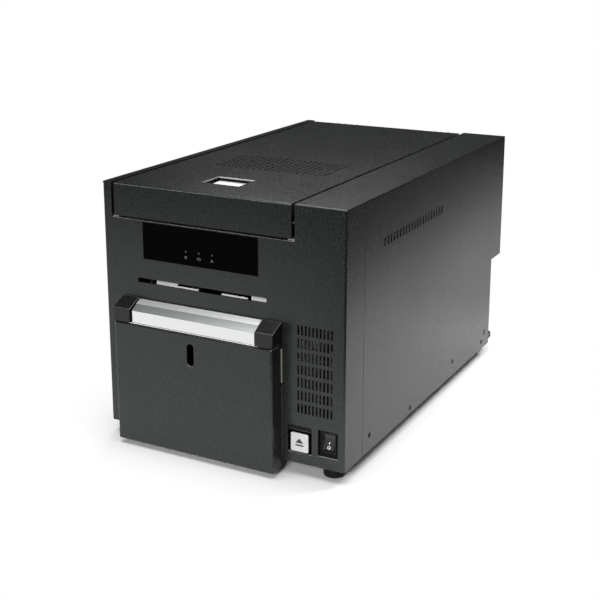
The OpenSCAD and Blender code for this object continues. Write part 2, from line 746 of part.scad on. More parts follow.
// Tongue on the inside of the door
module door_tongue() color("silver") in_case() {
    x = 203.5;
    block([x - 6, -door_d + sheet, catch_z[0] - 2], [x + 6, -door_d + 2 * sheet, catch_z[1] + 2]);
    translate([0, 0, catch_z[0] + 4]) linear_extrude(8) tongue_outline(x, -door_d + 2 * sheet, -4.4);
}

// ---------- lid ----------

// Outline of the lid in Y and Z: top plate and front flange with a bent edge
module lid_outline() difference() {
    intersection() {
        translate([0, case_h - 2 * lid_front_h]) round_rect(2 * case_d, 2 * lid_front_h, bend_r);
        translate([0, case_h - lid_front_h]) square([lid_plate_end, lid_front_h]);
    }
    translate([sheet, 0]) square([2 * case_d, case_h - sheet]);
}

module lid_panel() color("dimgray") in_case() difference() {
    union() {
        along_x(lid_x, lid_w) lid_outline();
        for (x = [lid_x, lid_end - sheet]) block([x, sheet, case_h - lid_side_h], [x + sheet, lid_plate_end, case_h - sheet]);
        on_crossbar() translate([0, 0, 2]) linear_extrude(8) tongue_outline(7.5, cut_z - case_h - 2.4, -4.4);
    }
    block([cup[0], cup[1], case_h - sheet - 1], [cup[0] + cup[2], cup[1] + cup[3], case_h + 1]);
    for (c = [0:vent_cols - 1], r = [0:vent_rows - 1])
        rod_z(case_h - sheet - 1, case_h + 1, [60.4 + c * vent_pitch, 132 + r * vent_pitch], vent_r);
}

// Sheet cup under the finger opening
module lid_finger_cup() color("black") in_case() {
    low = [cup[0] - cup_wall, cup[1] - cup_wall, case_h - cup_depth];
    high = [cup[0] + cup[2] + cup_wall, cup[1] + cup[3] + cup_wall, case_h - sheet];
    difference() {
        block(low, high);
        block([cup[0], cup[1], case_h - cup_depth + cup_wall], [cup[0] + cup[2], cup[1] + cup[3], case_h]);
        rod_x(cup[0] - 5, cup[0] + cup[2] + 5, paddle_axis, 1.2 + fit);
    }
}

// Chromed finger paddle on its cross pin
module latch_paddle() color("white") in_case() {
    x0 = cup[0] + 2.6;
    x1 = cup[0] + cup[2] - 1;
    along_x(x0, x1 - x0) polygon([
        [cup[1] + 1.2, paddle_z - 2.2], [cup[1] + 1.2, paddle_z - 1], [cup[1] + 5, paddle_z - 0.4],
        [cup[1] + 16, paddle_z], [paddle_axis[0] + 3.6, paddle_z + 0.5], [paddle_axis[0] + 4.2, paddle_z],
        [paddle_axis[0] + 2.4, paddle_z - 4.6], [paddle_axis[0] - 2, paddle_z - 4.6],
        [paddle_axis[0] - 3, paddle_z - 1.6], [cup[1] + 16, paddle_z - 1.4]
    ]);
    rod_x(cup[0] - 0.9, cup[0] + cup[2] + 0.9, paddle_axis, 1.2);
}

lid_hinges = [[30, 78], [162, 210]];
lid_knuckles = 5;

// Knuckles of one leaf at each of the two lid hinges
module lid_knuckles_of(parity) for (h = lid_hinges, k = [parity:2:lid_knuckles - 1]) {
    x = knuckle(h[0], h[1], lid_knuckles, k);
    rod_x(x[0], x[1], [hinge_y, hinge_z], lid_knuckle_r);
}

// Swinging leaves of the lid hinges, under the lid's rear edge
module lid_knuckle_leaves() color("silver") in_case() difference() {
    union() {
        lid_knuckles_of(1);
        for (h = lid_hinges) {
            block([h[0], hinge_y - 24, case_h - sheet - 1.4], [h[1], hinge_y - 4, case_h - sheet]);
            for (k = [1:2:lid_knuckles - 1]) {
                x = knuckle(h[0], h[1], lid_knuckles, k);
                block([x[0], hinge_y - 4, case_h - sheet - 1.4], [x[1], hinge_y, case_h - sheet]);
            }
        }
    }
    for (h = lid_hinges) rod_x(h[0] - 1, h[1] + 1, [hinge_y, hinge_z], 1.5 + fit);
}

// Fixed leaves of the lid hinges, on the inside of the rear wall
module lid_hinge_leaves() color("silver") in_case() difference() {
    union() {
        lid_knuckles_of(0);
        for (h = lid_hinges) {
            block([h[0], inner_y - 1.4, hinge_z - 26], [h[1], inner_y, hinge_z - 4]);
            for (k = [0:2:lid_knuckles - 1]) {
                x = knuckle(h[0], h[1], lid_knuckles, k);
                block([x[0], inner_y - 1.4, hinge_z - 4], [x[1], inner_y, hinge_z]);
            }
        }
    }
    for (h = lid_hinges) rod_x(h[0] - 1, h[1] + 1, [hinge_y, hinge_z], 1.5);
}

module lid_hinge_pins() color("silver") in_case() for (h = lid_hinges) rod_x(h[0] - 1, h[1] + 1, [hinge_y, hinge_z], 1.5);

// ---------- print engine ----------

// Shafts that run in bushes, as [Y, Z]
function bushed_shafts() = [
    [entry_y, roller_z], [platen_y, roller_z], [exit_y, roller_z], [entry_y, pick_z],
    [entry_y, pinch_z], [exit_y, pinch_z]
];

// Outline of an engine side frame in Y and Z
module frame_outline() difference() {
    polygon([
        [frame_front, sheet], [frame_back, sheet], [frame_back, 190], [supply_at[0] + 34, frame_top],
        [frame_front + 22, frame_top], [frame_front, frame_top - 22]
    ]);
    for (at = bushed_shafts()) translate(at) circle(bush_r);
    translate(head_axis) circle(shaft_r + fit);
    translate(takeup_at) circle(4 + fit);
    translate(supply_at) circle(4 + fit);
    for (at = [takeup_at, supply_at]) translate([at[0] - 4 - fit, at[1]]) square([8 + 2 * fit, 60]);
    translate([150, 22]) square([120, 92]);
    for (at = tie_bar_places()) translate(at) circle(2.1);
}

function tie_bar_places() = [[frame_front + 10, 186], [frame_back - 12, 150], [112, 100]];

module engine_frame_left() color("lightsteelblue") in_case() {
    difference() {
        along_x(frame_left_x, frame_t) frame_outline();
        rod_x(frame_left_x - 1, frame_left_x + 3, [idler_y, motor_z], 11.1);
    }
    for (at = idler_places()) {
        rod_x(gear_x - 1.5, frame_left_x, at, stub_r);
        rod_x(gear_x + gear_w + 0.3, frame_left_x, at, stub_r + 1.6);
        rod_x(gear_x - 1.5, gear_x - 0.3, at, stub_r + 1.2);
    }
}

// Idlers that turn on stub axles of the left frame
function idler_places() = [[idler_y, roller_z], [idler2_y, roller_z], [entry_y, pick_idler_z], link_at];

module engine_frame_right() color("lightsteelblue") in_case() along_x(frame_right_x, frame_t) frame_outline();

// Bars that tie the two side frames together
module frame_tie_bars() color("silver") in_case() for (at = tie_bar_places()) {
    rod_x(frame_left_x + frame_t, frame_right_x, at, 4);
    rod_x(frame_left_x - 1.5, frame_right_x + frame_t + 1.5, at, 2.1);
}

// Flanged bushes of the roller shafts
module shaft_bushes() color("goldenrod") in_case() for (at = bushed_shafts(), right = [0, 1]) {
    x = right ? frame_right_x : frame_left_x;
    difference() {
        union() {
            rod_x(x, x + frame_t, at, bush_r);
            rod_x(right ? x - 1.2 : x + frame_t, right ? x : x + frame_t + 1.2, at, bush_r - 0.1 + 1.6);
        }
        rod_x(x - 3, x + frame_t + 3, at, shaft_r + fit);
    }
}

// Shaft between the frames with its gear end outside the left frame
module roller_shaft(at, gear_end) rod_x(gear_end ? gear_x - 1 : frame_left_x - 1.5, frame_right_x + frame_t + 2, at, shaft_r);

// Driven roller: shaft, rubber sleeves and gear
module driven_roller(at, r, sleeves, teeth, phase) {
    roller_shaft(at, true);
    for (s = sleeves) rod_x(s[0], s[1], at, r);
    gear(gear_x, gear_w, at, teeth, phase, shaft_r);
    rod_x(gear_x + gear_w, gear_x + gear_w + 2, at, shaft_r + 2);
}

feed_sleeves = [[60, 84], [107, 131], [154, 178]];

module entry_roller() color("dimgray") in_case()
    driven_roller([entry_y, roller_z], roller_r, feed_sleeves, roller_teeth, roller_phase);

module platen_roller() color("dimgray") in_case()
    driven_roller([platen_y, roller_z], roller_r, [[tray_x - 2, tray_x + card_w + 4]], roller_teeth, roller_phase);

module exit_roller() color("dimgray") in_case()
    driven_roller([exit_y, roller_z], roller_r, feed_sleeves, roller_teeth, roller_phase);

module pick_roller() color("dimgray") in_case()
    driven_roller([entry_y, pick_z], roller_r, [[96, 142]], pick_idler_teeth, pick_phase);

module front_idler() color("ivory") in_case() gear(gear_x, gear_w, [idler_y, roller_z], idler_teeth, idler_phase, stub_r + fit);

module rear_idler() color("ivory") in_case() gear(gear_x, gear_w, [idler2_y, roller_z], idler_teeth, idler_phase, stub_r + fit);

module pick_idler() color("ivory") in_case()
    gear(gear_x, gear_w, [entry_y, pick_idler_z], pick_idler_teeth, pick_idler_phase, stub_r + fit);

module takeup_idler() color("ivory") in_case() gear(gear_x, gear_w, link_at, link_teeth, link_phase, stub_r + fit);

// Pinion on the feed motor's shaft
module motor_pinion() color("goldenrod") in_case() {
    gear(gear_x, gear_w, [idler_y, motor_z], pinion_teeth, pinion_phase, 2.5);
    rod_x(gear_x - 1, frame_left_x + 2, [idler_y, motor_z], 2.5);
}

// Square stepper motor on the inside of the left frame
module feed_motor() color("dimgray") in_case() {
    x0 = frame_left_x + frame_t;
    at = [idler_y, motor_z];
    half = 21.1;
    difference() {
        union() {
            intersection() {
                block([x0, at[0] - half, at[1] - half], [x0 + 40, at[0] + half, at[1] + half]);
                translate([x0 - 1, at[0], at[1]]) rotate([45, 0, 0]) translate([0, -25.5, -25.5]) cube([50, 51, 51]);
            }
            rod_x(frame_left_x, x0, at, 11);
        }
        rod_x(frame_left_x - 1, x0 + 4, at, 2.5 + fit);
        for (s = [-1, 1]) block([x0 + 9.6, at[0] - 30, at[1] + s * 30 - 9.6], [x0 + 10.4, at[0] + 30, at[1] + s * 30 + 9.6]);
    }
}

// Free roller that presses the card on a driven one
module pinch_roller(y) {
    roller_shaft([y, pinch_z], false);
    for (s = feed_sleeves) rod_x(s[0] + 3, s[1] - 3, [y, pinch_z], pinch_r);
}

module front_pinch_roller() color("lightgray") in_case() pinch_roller(entry_y);

module rear_pinch_roller() color("lightgray") in_case() pinch_roller(exit_y);

// Ribbon spool: core, flanges and the wound ribbon
module spool(at, r, gear_end) {
    rod_x(gear_end ? gear_x - 1 : frame_left_x - 3, frame_right_x + frame_t + 3, at, 4);
    rod_x(tray_x - 8, tray_x + card_w + 12, at, 8);
    for (x = [tray_x - 8, tray_x + card_w + 10]) rod_x(x, x + 2, at, max(r, 13) + 2);
    rod_x(tray_x - 2, tray_x + card_w + 6, at, r);
}

module takeup_spool() color("indigo") in_case() {
    spool(takeup_at, takeup_r, true);
    gear(gear_x, gear_w, takeup_at, takeup_teeth, takeup_phase, 4);
}

module supply_spool() color("indigo") in_case() spool(supply_at, supply_r, false);

// Print head on its swinging arms, with a finned heat sink
module print_head() color("silver") in_case() {
    bottom = path_z + 1.2;
    x0 = frame_left_x + frame_t + 2;
    x1 = frame_right_x - 2;
    rod_x(frame_left_x - 2, frame_right_x + frame_t + 2, head_axis, shaft_r);
    for (x = [x0, x1 - 3]) along_x(x, 3) polygon([
        [head_axis[0] + 6, head_axis[1] - 5], [head_axis[0] + 6, head_axis[1] + 6], [head_line_y + 10, 204],
        [head_line_y - 14, 200], [head_line_y - 14, 184], [head_line_y + 12, 182], [head_axis[0] - 8, head_axis[1] - 8]
    ]);
    block([x0, head_line_y - 13, 196], [x1, head_line_y + 9, 199]);
    block([x0, head_line_y - 10, 184], [x1, head_line_y + 6, 187]);
    for (k = [-2:2]) block([x0 + 6, head_line_y - 2 + k * 3.6 - 0.7, 187], [x1 - 6, head_line_y - 2 + k * 3.6 + 0.7, 196]);
    block([tray_x - 4, head_line_y - 8, bottom + 3], [tray_x + card_w + 6, head_line_y + 4, 184]);
    along_x(tray_x - 2, card_w + 6) polygon([
        [head_line_y - 8, bottom + 3], [head_line_y - 2.4, bottom], [head_line_y + 2.4, bottom], [head_line_y + 4, bottom + 3]
    ]);
}

// ---------- electronics ----------

// Main board on the base, with its larger parts
module main_board() color("darkgreen") in_case() {
    z = 22;
    block([112, 300, z], [222, lower_y - 4, z + 1.6]);
    for (x = [118, 216], y = [308, lower_y - 14]) rod_z(sheet, z, [x, y], 3);
    block([150, 330, z + 1.6], [176, 356, z + 4.6]);
    for (k = [0:4]) block([151 + k * 5.5, 331, z + 4.6], [153 + k * 5.5, 355, z + 14]);
    for (k = [0:3]) rod_z(z + 1.6, z + 16, [192 + k * 7, 392], 3);
    block([120, 316, z + 1.6], [138, 322, z + 12]);
}

// Sockets on the rear edge of the board
module data_ports() color("silver") in_case() for (p = port_list()) difference() {
    union() {
        block([p[0], lower_y - 16, 23.6], [p[0] + p[2], lower_y - sheet, p[1] + p[3]]);
        block([p[0], lower_y - sheet, p[1]], [p[0] + p[2], lower_y, p[1] + p[3]]);
    }
    block([p[0] + 1.6, lower_y - 12, p[1] + 1.4], [p[0] + p[2] - 1.6, lower_y + 1, p[1] + p[3] - 1.6]);
}

// Power supply in the right bay, with a finned top
module power_supply() color("gray") in_case() {
    block([bay_x + 3, 60, sheet], [case_w - 6, 230, 10]);
    block([bay_x + 5, 64, 10], [case_w - 8, 226, 100]);
    for (k = [0:12]) block([bay_x + 9, 72 + k * 12, 100], [case_w - 12, 78 + k * 12, 106]);
}

// Fan frame behind the rear grille: four openings round a hub on crossed spokes
module fan_housing() color("black") in_case() {
    h = fan_size / 2;
    y1 = lower_y - sheet;
    difference() {
        block([fan_at[0] - h, y1 - fan_d, fan_at[1] - h], [fan_at[0] + h, y1, fan_at[1] + h]);
        rod_y(y1 - fan_d - 1, y1 - 2.4, fan_at, h - 1.5);
        translate([fan_at[0], 0, fan_at[1]]) along_y(y1 - 3, 4) difference() {
            circle(h - 2);
            circle(10);
            for (a = [45, 135]) rotate(a) translate([-h, -1.5]) square([2 * h, 3]);
        }
        rod_y(y1 - 3, y1 + 1, fan_at, 1.5 + fit);
    }
}

// Fan rotor: hub with its pin and swept blades
module fan_rotor() color("dimgray") in_case() {
    y0 = lower_y - sheet - fan_d + 1;
    hub_r = 9;
    rod_y(y0, lower_y - sheet - 3.2, fan_at, hub_r);
    rod_y(lower_y - sheet - 3.2, lower_y - sheet - 0.4, fan_at, 1.5);
    for (k = [0:6]) translate([fan_at[0], y0 + 4.6, fan_at[1]]) rotate([0, k * 360 / 7, 0])
        rotate([38, 0, 0]) translate([hub_r - 1.2, -0.6, -5]) cube([fan_size / 2 - hub_r - 1.6, 1.2, 10]);
}

// Appliance inlet with its three blades
module power_inlet() color("black") in_case() {
    at = inlet_at;
    y1 = lower_y;
    difference() {
        union() {
            block([at[0] - inlet_size[0] / 2, y1 - 22, at[1] - inlet_size[1] / 2],
                [at[0] + inlet_size[0] / 2, y1, at[1] + inlet_size[1] / 2]);
            translate([at[0] - 17, 0, at[1] - 12.5]) along_y(y1, 2.4) round_rect(34, 25, 3);
        }
        translate([0, 0, at[1] - 8]) along_y(y1 - 16, 20) polygon([
            [at[0] - 12, 0], [at[0] + 12, 0], [at[0] + 12, 11], [at[0] + 7.5, 16], [at[0] - 7.5, 16], [at[0] - 12, 11]
        ]);
    }
    for (p = [[-7, -2], [7, -2], [0, 2]]) block([at[0] + p[0] - 1, y1 - 16, at[1] + p[1] - 2.4], [at[0] + p[0] + 1, y1 - 2, at[1] + p[1] + 2.4]);
}

base_pan();
front_cover();
left_side_panel();
right_side_panel();
rear_panel();
bay_wall();
front_crossbar();
inner_deck();
rubber_feet();
case_screws();
control_panel();
status_lights();
card_guide();
card_tray();
roller_catches();
catch_plate();
door_hinge_leaf();
door_hinge_pin();
key_housing();
switch_housing();
engine_frame_left();
engine_frame_right();
frame_tie_bars();
shaft_bushes();
feed_motor();
main_board();
power_supply();
fan_housing();
power_inlet();
data_ports();
lid_hinge_leaves();
lid_hinge_pins();
lid_panel();
lid_finger_cup();
lid_knuckle_leaves();
latch_paddle();
door_shell();
door_handle();
door_cap_left();
door_cap_right();
door_knuckle_leaf();
door_tongue();
release_key();
power_rocker();
entry_roller();
platen_roller();
exit_roller();
front_idler();
rear_idler();
pick_idler();
pick_roller();
motor_pinion();
takeup_idler();
front_pinch_roller();
rear_pinch_roller();
takeup_spool();
supply_spool();
print_head();
lift_plate();
fan_rotor();
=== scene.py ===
import json
import math
from collections import namedtuple

import bmesh
import bpy
from mathutils import Matrix, Vector


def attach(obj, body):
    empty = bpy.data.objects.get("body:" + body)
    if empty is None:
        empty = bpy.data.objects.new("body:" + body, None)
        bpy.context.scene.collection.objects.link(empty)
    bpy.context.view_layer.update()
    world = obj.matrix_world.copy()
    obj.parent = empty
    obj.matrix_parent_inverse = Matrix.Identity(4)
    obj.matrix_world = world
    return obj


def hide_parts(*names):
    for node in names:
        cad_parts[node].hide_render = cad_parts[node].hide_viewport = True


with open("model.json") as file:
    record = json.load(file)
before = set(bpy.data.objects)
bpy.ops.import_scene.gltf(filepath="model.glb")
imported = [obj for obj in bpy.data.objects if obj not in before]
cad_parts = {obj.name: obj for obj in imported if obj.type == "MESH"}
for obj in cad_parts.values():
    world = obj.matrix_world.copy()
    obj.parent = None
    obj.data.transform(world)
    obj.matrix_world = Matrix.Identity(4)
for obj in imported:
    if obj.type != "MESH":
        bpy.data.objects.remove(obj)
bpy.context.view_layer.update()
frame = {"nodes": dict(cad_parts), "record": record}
BODY_OF = {node: body for body, nodes in frame["record"]["behaviour"]["bodies"].items()
           for node in nodes}
SLOT_OF = {part["node"]: part["material_slot"] for part in frame["record"]["subparts"]}
scene = bpy.context.scene

MM = 0.001
X_AXIS, Y_AXIS, Z_AXIS = Vector((1, 0, 0)), Vector((0, 1, 0)), Vector((0, 0, 1))
# Case coordinates are mm from the left side, the front face and the underside of the case.
ROW_ORIGIN = (143, 223, -15)    # the row frame's origin in case coordinates


def at(x, y, z):
    """Case coordinates in mm to the row frame in metres."""
    return Vector(((x - ROW_ORIGIN[0]) * MM, (y - ROW_ORIGIN[1]) * MM, (z - ROW_ORIGIN[2]) * MM))


# ---------------------------------------------------------------- node helpers

def feed(t, node, inputs):
    """Gives each named input of a node its value, or links it to the socket given."""
    for key, value in inputs.items():
        if isinstance(value, bpy.types.NodeSocket):
            t.links.new(value, node.inputs[key])
        else:
            node.inputs[key].default_value = value


def make(t, kind, inputs=None, **settings):
    """A new node of a tree with its settings and inputs."""
    node = t.nodes.new(kind)
    for key, value in settings.items():
        setattr(node, key, value)
    feed(t, node, inputs or {})
    return node


def calc(t, operation, *values, clamp=False):
    """The result of a math node on sockets or numbers."""
    return make(t, "ShaderNodeMath", dict(enumerate(values)), operation=operation,
                use_clamp=clamp).outputs[0]


def vector_calc(t, operation, *values):
    """The result of a vector math node on sockets or vectors."""
    node = make(t, "ShaderNodeVectorMath", dict(enumerate(values)), operation=operation)
    return node.outputs["Value" if operation == "LENGTH" else "Vector"]


def object_place(t):
    """The object coordinates, which are the row frame's at rest."""
    return make(t, "ShaderNodeTexCoord").outputs["Object"]


def remap(t, value, low, high, start=0.3, end=0.7, **settings):
    """Low at start and below, high at end and above, in between in proportion."""
    return make(t, "ShaderNodeMapRange", {
        "Value": value, "From Min": start, "From Max": end, "To Min": low, "To Max": high,
    }, **settings).outputs["Result"]


def noise(t, scale, detail=2.0, rough=0.5, stretch=None):
    """Noise in object space, with its scale per metre; stretch multiplies each axis."""
    place = object_place(t)
    if stretch:
        place = make(t, "ShaderNodeMapping", {"Vector": place, "Scale": stretch}).outputs["Vector"]
    return make(t, "ShaderNodeTexNoise", {
        "Vector": place, "Scale": scale, "Detail": detail, "Roughness": rough}).outputs["Fac"]


def ramp(t, value, stops):
    """Colours of a ramp whose stops are (position, colour)."""
    node = make(t, "ShaderNodeValToRGB", {"Fac": value})
    elements = node.color_ramp.elements
    while len(elements) < len(stops):
        elements.new(0.5)
    for element, (position, color) in zip(elements, stops):
        element.position = position
        element.color = (*color, 1)
    return node.outputs["Color"]


def toned(t, value, color, spread):
    """A colour that gets darker and lighter by spread with the noise."""
    dark = tuple(c * (1 - spread) for c in color)
    light = tuple(min(1, c * (1 + spread)) for c in color)
    return ramp(t, value, [(0.3, dark), (0.7, light)])


def bump(t, bsdf, height, strength, depth):
    """Height grain on a surface, depth in mm."""
    node = make(t, "ShaderNodeBump", {"Height": height, "Strength": strength,
                                      "Distance": depth * MM})
    feed(t, bsdf, {"Normal": node.outputs["Normal"]})


def new_material(name):
    """A material with a principled surface: the material, its node tree, the surface node."""
    m = bpy.data.materials.new(name)
    m.use_nodes = True
    t = m.node_tree
    t.nodes.clear()
    bsdf = make(t, "ShaderNodeBsdfPrincipled")
    make(t, "ShaderNodeOutputMaterial", {"Surface": bsdf.outputs["BSDF"]})
    return m, t, bsdf


# ---------------------------------------------------------------- masks
# A mask is a function that makes, in a node tree, a socket of 1 where it holds and 0 elsewhere.

SOFT_EDGE = 0.2 * MM


def step(t, value, edge):
    """0 below an edge in metres, 1 above it."""
    return remap(t, value, 0.0, 1.0, edge - SOFT_EDGE, edge + SOFT_EDGE)


def above(axis, edge):
    """Past a case coordinate in mm along an axis."""
    def mask(t):
        split = make(t, "ShaderNodeSeparateXYZ", {0: object_place(t)})
        return step(t, split.outputs[axis], at(edge, edge, edge)["XYZ".index(axis)])
    return mask


def outside(y, z, radius):
    """Beyond a radius in mm round a line along X through the case coordinates y and z."""
    def mask(t):
        offset = vector_calc(t, "SUBTRACT", object_place(t), at(0, y, z))
        across = vector_calc(t, "MULTIPLY", offset, (0, 1, 1))
        return step(t, vector_calc(t, "LENGTH", across), radius * MM)
    return mask


def inverse(mask):
    """Where a mask doesn't hold."""
    return lambda t: calc(t, "SUBTRACT", 1.0, mask(t))


def all_of(first, *others):
    """Where every mask holds."""
    if not others:
        return first
    return lambda t: calc(t, "MULTIPLY", first(t), all_of(*others)(t))


def below(axis, edge):
    """Short of a case coordinate in mm along an axis."""
    return inverse(above(axis, edge))


def slab(axis, low, high):
    """Between two case coordinates in mm along an axis."""
    return all_of(above(axis, low), below(axis, high))


# ---------------------------------------------------------------- kinds of material

def grained(name, color, rough, spread=0.12, metallic=0.0, scale=900, grain=0.25, depth=0.08,
            rough_spread=0.06, stretch=None, specular=0.5):
    """A surface with fine colour, roughness and height grain; scale per metre, depth in mm."""
    m, t, bsdf = new_material(name)
    n = noise(t, scale, 3.0, 0.6, stretch)
    feed(t, bsdf, {
        "Base Color": toned(t, n, color, spread),
        "Roughness": remap(t, n, rough - rough_spread, rough + rough_spread),
        "Metallic": metallic,
        "Specular IOR Level": specular})
    if grain:
        bump(t, bsdf, n, grain, depth)
    return m


COAT_TINT = (0.92, 1.0, 0.93, 1)    # the black coat's gloss is faintly green
SPECKLES, PATCHES = 2400, 6         # noise scales per metre
CELL_SHARE, SPECKLE_SHARE = 0.75, 0.25


def powder(name, color, grain, cells, specular=0.55, rough=0.285):
    """Powder coat: a leathery grain of cells (per metre) under fine speckles.

    Its colour goes darker in the grain's valleys and lighter on its tops, and its roughness
    by 0.04 with the grain and by 0.02 in wide patches."""
    m, t, bsdf = new_material(name)
    speckles, leather, patches = noise(t, SPECKLES), noise(t, cells, 1.0), noise(t, PATCHES)
    height = calc(t, "MULTIPLY_ADD", leather, CELL_SHARE,
                  calc(t, "MULTIPLY", speckles, SPECKLE_SHARE))
    dark, light = tuple(c * 0.65 for c in color), tuple(c * 1.45 for c in color)
    feed(t, bsdf, {
        "Base Color": ramp(t, height, [(0.38, dark), (0.5, color), (0.62, light)]),
        "Roughness": calc(t, "ADD", remap(t, height, rough - 0.04, rough + 0.04),
                          remap(t, patches, -0.02, 0.02)),
        "Specular IOR Level": specular,
        "Specular Tint": COAT_TINT})
    bump(t, bsdf, height, grain, depth=0.4)
    return m


Finish = namedtuple("Finish", "color rough metallic")


def layered(name, base, layers, scale=900, spread=0.1, grain=0.1, depth=0.04):
    """One material whose regions differ: a base finish and layers of (mask, finish) on it."""
    m, t, bsdf = new_material(name)
    n = noise(t, scale)

    def mixed(mask, old, new, kind):
        return make(t, "ShaderNodeMix", {"Factor": mask, "A": old, "B": new},
                    data_type=kind).outputs["Result"]

    color, rough, metallic = toned(t, n, base.color, spread), base.rough, base.metallic
    for mask_of, finish in layers:
        mask = mask_of(t)
        color = mixed(mask, color, toned(t, n, finish.color, spread), "RGBA")
        rough = mixed(mask, rough, finish.rough, "FLOAT")
        metallic = mixed(mask, metallic, finish.metallic, "FLOAT")
    feed(t, bsdf, {"Base Color": color, "Roughness": rough, "Metallic": metallic})
    bump(t, bsdf, n, grain, depth)
    return m


# ---------------------------------------------------------------- materials

CHARCOAL = (0.0105, 0.0119, 0.0108)
STEEL = Finish((0.7, 0.71, 0.72), 0.25, 1.0)
RUBBER = Finish((0.045, 0.045, 0.05), 0.72, 0.0)
ACETAL = Finish((0.72, 0.70, 0.62), 0.42, 0.0)
SPOOL_CORE = Finish((0.55, 0.56, 0.57), 0.45, 0.0)
PINCH_RUBBER = Finish((0.3, 0.31, 0.33), 0.5, 0.0)
SOLDER_MASK = Finish((0.016, 0.11, 0.045), 0.3, 0.0)
DARK_LENS = Finish((0.06, 0.065, 0.06), 0.25, 0.0)
MOTOR_BLACK = Finish((0.03, 0.03, 0.033), 0.4, 0.1)
MOTOR_CAN = Finish((0.55, 0.55, 0.55), 0.35, 1.0)
CHIP_BLACK = Finish((0.02, 0.02, 0.022), 0.4, 0.0)
HEAT_SINK = Finish((0.6, 0.61, 0.62), 0.3, 1.0)
INLET_BLACK = Finish((0.017, 0.017, 0.018), 0.42, 0.0)
BRUSHED_ALONG_X, LEVEL_STREAKS = (0.1, 1, 1), (1, 1, 6)    # stretches of a grain

# Finishes by the record's material slot, or by node where a node has its own.
M = {
    "powder": powder("powder_coat", CHARCOAL, 0.17, 620),
    "zinc": grained("zinc_sheet", (0.62, 0.63, 0.62), 0.38, spread=0.10, metallic=1.0, scale=120,
                    grain=0.05, depth=0.05, rough_spread=0.08, stretch=LEVEL_STREAKS),
    "screw": grained("black_oxide", (0.03, 0.03, 0.031), 0.35, spread=0.2, metallic=0.6,
                     grain=0.1, depth=0.04),
    "rubber": grained("foot_rubber", (0.005, 0.005, 0.0053), 0.62, spread=0.25, scale=1400,
                      grain=0.3, specular=0.15),
    "gloss_black": grained("gloss_black", (0.002, 0.002, 0.0022), 0.25, spread=0.1, scale=300,
                           grain=0.0, rough_spread=0.02, specular=0.0),
    "black_plastic": grained("black_plastic", (0.012, 0.012, 0.0125), 0.5, spread=0.2, scale=1800,
                             grain=0.2, depth=0.05),
    "cap_plastic": grained("cap_plastic", (0.008, 0.008, 0.0085), 0.26, spread=0.2, scale=1800,
                           grain=0.22, depth=0.05, specular=0.4),
    "white_plastic": grained("white_plastic", (0.62, 0.62, 0.60), 0.4, spread=0.02, scale=400,
                             grain=0.03, depth=0.03, rough_spread=0.03),
    "anodised": grained("anodised", (0.80, 0.81, 0.80), 0.3, spread=0.03, metallic=1.0,
                        scale=2500, grain=0.03, depth=0.01, rough_spread=0.03),
    "bright": grained("bright_sheet", (0.88, 0.89, 0.89), 0.3, spread=0.04, metallic=1.0,
                      scale=500, grain=0.03, depth=0.01, rough_spread=0.05,
                      stretch=BRUSHED_ALONG_X),
    "chrome": grained("chrome", (0.88, 0.89, 0.90), 0.38, spread=0.02, metallic=0.7, scale=300,
                      grain=0.0, rough_spread=0.03),
    "bronze": grained("sintered_bronze", (0.55, 0.38, 0.17), 0.4, spread=0.18, metallic=1.0,
                      scale=2200, grain=0.2, depth=0.05),
    "gear_plastic": grained("acetal", ACETAL.color, ACETAL.rough, spread=0.04, scale=600,
                            grain=0.05, depth=0.03),
    # The print head's alloy is made dark, partly painted shade, so that what shows of it through
    # the gap under the lid stays dark.
    "print_head": grained("head_alloy_painted_shade", (0.30, 0.305, 0.31), 0.36, spread=0.06, metallic=1.0,
                          grain=0.08, depth=0.04, stretch=BRUSHED_ALONG_X),
    # The case screws are near-black with little gloss: partly dark screws, partly painted shade in
    # their countersunk holes.
    "case_screws": grained("screw_black_painted_shade", (0.003, 0.003, 0.003), 0.6, spread=0.2, grain=0.1,
                           depth=0.04, specular=0.05),
    "status_lights": layered("status_light_mat", SOLDER_MASK, [(below("Y", 5.6), DARK_LENS)],
                             scale=300),
    "feed_motor": layered("feed_motor_mat", MOTOR_BLACK, [(slab("X", 45.5, 64), MOTOR_CAN)],
                          scale=500),
    # parts stand on the board, and the heat sink's fins and the cans above them are metal
    "main_board": layered("main_board_mat", SOLDER_MASK, [
        (above("Z", 23.9), CHIP_BLACK),
        (all_of(above("Z", 26.7), above("X", 148)), HEAT_SINK)], scale=300),
    # its three blades
    "power_inlet": layered("power_inlet_mat", INLET_BLACK, [
        (all_of(slab("X", 249.5, 266.5), slab("Z", 21.5, 32), slab("Y", 416.5, 430.5)), STEEL),
    ], scale=1500),
}

# Shafts run along X, each through a y and z in case coordinates. Radii are in mm: a sleeve is
# masked a little under its surface, and a gear from a little outside its shaft.
GEAR_SIDE = below("X", 31.2)    # the gears are at the left ends of the shafts
ROLLER_RADIUS, PINCH_RADIUS, SLEEVE_SKIN = 9, 6, 0.6
GEAR_FROM, SPOOL_GEAR_FROM = 3.2, 4.5
WOUND_FROM, WOUND_TO, WOUND_SKIN = 44, 195, 0.5

